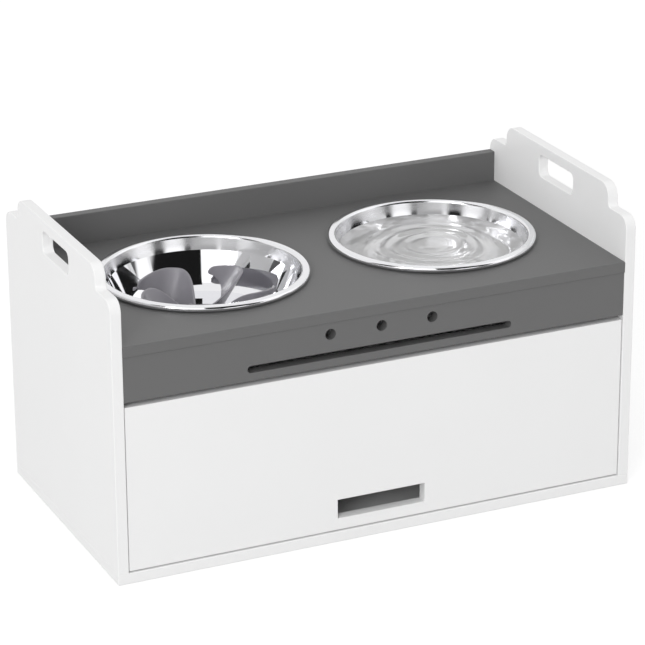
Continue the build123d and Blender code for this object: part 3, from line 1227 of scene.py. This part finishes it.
@dataclass
class Studio:
    """Pale floor, even soft light and the camera."""

    camera_place: tuple[float, float, float] = (-1.278878, -2.819928, 1.396674)
    camera_yaw: float = -24.45
    camera_pitch: float = -21.369
    camera_roll: float = -0.322
    lens: float = 170.75
    sky: float = 0.83
    open_level: float = 0.9
    key_power: float = 168.0
    key_place: tuple[float, float, float] = (-4.2, -4.8, 2.5)
    key_size: float = 3.0
    floor_color: Color = (0.56, 0.56, 0.56)
    floor_glow: float = 0.53
    floor_half: float = 14.0
    floor_cells: int = 8
    card_end_soft: float = 2.0
    clip_end: float = 100.0
    cards: tuple[Card, ...] = (
        Card(-80, 10, -4, 17, 1.15),
        Card(-55, 9, -4, 17, 0.015, 7),
        Card(-24, 16, -4, 15, 0.4, 7),
        Card(-5, 4, -4, 15, 0.12, 4),
        Card(12, 9, -4, 15, 1.1, 5),
        Card(31, 7, -4, 15, 0.05, 6),
        Card(72, 6, -4, 12, 0.1, 6),
        Card(-120, 8, -4, 14, 1.15),
        Card(-97, 5, -4, 14, 0.24, 5),
        Card(13, 33, 17, 75, 0.01, 1.5),
        Card(-44, 23, 17, 62, 1.3, 1.5),
        Card(-85, 13, 17, 60, 0.025, 3),
        Card(76, 27, 12, 60, 1.1, 3),
        Card(-60, 5, 22, 56, 9, 4),
    )

    def build(self) -> None:
        """Put up the floor, the sky and the camera."""
        self._floor()
        self._sky()
        self._key()
        self._camera()
        view = bpy.context.scene.view_settings
        view.view_transform = "Standard"

    def _rays(self, graph: Graph) -> tuple[Wire, Wire]:
        """Tell the rays apart that may see the studio itself.

        Args:
            graph: nodes of a material or of the world.

        Returns:
            1 for the camera's own rays, and 1 for those of a reflection or a refraction.
        """
        kinds = ("Is Camera Ray", "Is Glossy Ray", "Is Transmission Ray")
        camera, glossy, clear = (graph.add("ShaderNodeLightPath", output=k) for k in kinds)
        return camera, glossy.larger(clear)

    def _floor(self) -> None:
        """A wide pale floor that shows white but keeps the shadow."""
        mesh = bmesh.new()
        cells = self.floor_cells
        bmesh.ops.create_grid(mesh, x_segments=cells, y_segments=cells, size=self.floor_half)
        floor = make_piece("floor", mesh)
        material = bpy.data.materials.new("studio_floor")
        material.use_nodes = True
        graph = Graph(material.node_tree)
        paint = graph.add("ShaderNodeBsdfDiffuse", None, {"Color": (*self.floor_color, 1.0)})
        camera, mirrored = self._rays(graph)
        strength = camera.larger(mirrored) * self.floor_glow
        glow = graph.add("ShaderNodeEmission", None, {"Strength": strength})
        both = graph.add("ShaderNodeAddShader", None, {0: paint, 1: glow})
        graph.add("ShaderNodeOutputMaterial", None, {"Surface": both})
        floor.data.materials.append(material)

    def _mask(self, value: Wire, low: float, high: float, soft: float) -> Wire:
        """1 between two limits, with soft edges."""
        rise = value.step(low - soft / 2, low + soft / 2)
        return rise * (1 - value.step(high - soft / 2, high + soft / 2))

    def _sky(self) -> None:
        """White for the camera, even for the boards, and with cards for metal and glass."""
        world = bpy.data.worlds.new("studio")
        bpy.context.scene.world = world
        world.use_nodes = True
        graph = Graph(world.node_tree)
        x, y, z = graph.split(graph.coordinates("Generated"))
        azimuth, elevation = x.direction(0 - y), z.elevation()
        level = self.open_level
        for card in self.cards:
            left, right = card.azimuth - card.half_width, card.azimuth + card.half_width
            mask = self._mask(azimuth, left, right, card.soft)
            mask = mask * self._mask(elevation, card.low, card.high, self.card_end_soft)
            level = mask * (card.level - level) + level
        even, studio, white = (
            graph.add("ShaderNodeBackground", None, {"Color": WHITE, "Strength": strength})
            for strength in (self.sky, level, 1.0)
        )
        camera, mirrored = self._rays(graph)
        mixed = graph.blend_shaders(mirrored, even, studio)
        surface = graph.blend_shaders(camera, mixed, white)
        graph.add("ShaderNodeOutputWorld", None, {"Surface": surface})

    def _key(self) -> None:
        """A broad soft lamp above the front left corner."""
        lamp = bpy.data.lights.new("key", "AREA")
        lamp.shape = "DISK"
        lamp.size = self.key_size
        lamp.energy = self.key_power
        place = bpy.data.objects.new("key", lamp)
        place.location = self.key_place
        place.rotation_euler = (-Vector(self.key_place)).to_track_quat("-Z", "Y").to_euler()
        place.visible_glossy = False
        place.visible_transmission = False
        bpy.context.scene.collection.objects.link(place)

    def _camera(self) -> None:
        """The camera, by its place and its three turns."""
        data = bpy.data.cameras.new("camera")
        data.lens = self.lens
        data.clip_end = self.clip_end
        camera = bpy.data.objects.new("camera", data)
        bpy.context.scene.collection.objects.link(camera)
        turns = (self.camera_yaw, self.camera_pitch, self.camera_roll)
        yaw, pitch, roll = (math.radians(turn) for turn in turns)
        aim = Matrix.Rotation(yaw, 4, "Z") @ Matrix.Rotation(math.pi / 2 + pitch, 4, "X")
        aim = aim @ Matrix.Rotation(roll, 4, "Z")
        camera.matrix_world = Matrix.Translation(self.camera_place) @ aim
        bpy.context.scene.camera = camera


# ------------------------------------------------------------------------------------------ main


def main() -> None:
    """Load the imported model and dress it."""
    logging.basicConfig(level=logging.INFO, format="%(name)s: %(message)s")
    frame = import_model()
    Studio().build()
    Cabinet(frame["nodes"]).dress()
    food = Bowl("food_bowl_spun", "food_bowl", "food_dish")
    water = Bowl("water_bowl_spun", "water_bowl", "water_dish")
    screws = [
        DrivenScrews(frame["nodes"]["catch_screws"], "cabinet", Driver.SMALL),
        DrivenScrews(frame["nodes"]["strike_plate_screws"], "flip_door", Driver.SMALL),
        DrivenScrews(frame["nodes"]["base_screws"], "cabinet", Driver.LARGE),
    ]
    for maker in (food, water, Water(water), SwirlInsert(), *screws):
        piece = maker.build()
        log.info("%s: %d faces", piece.name, len(piece.data.polygons))


if __name__ == "__main__":
    main()
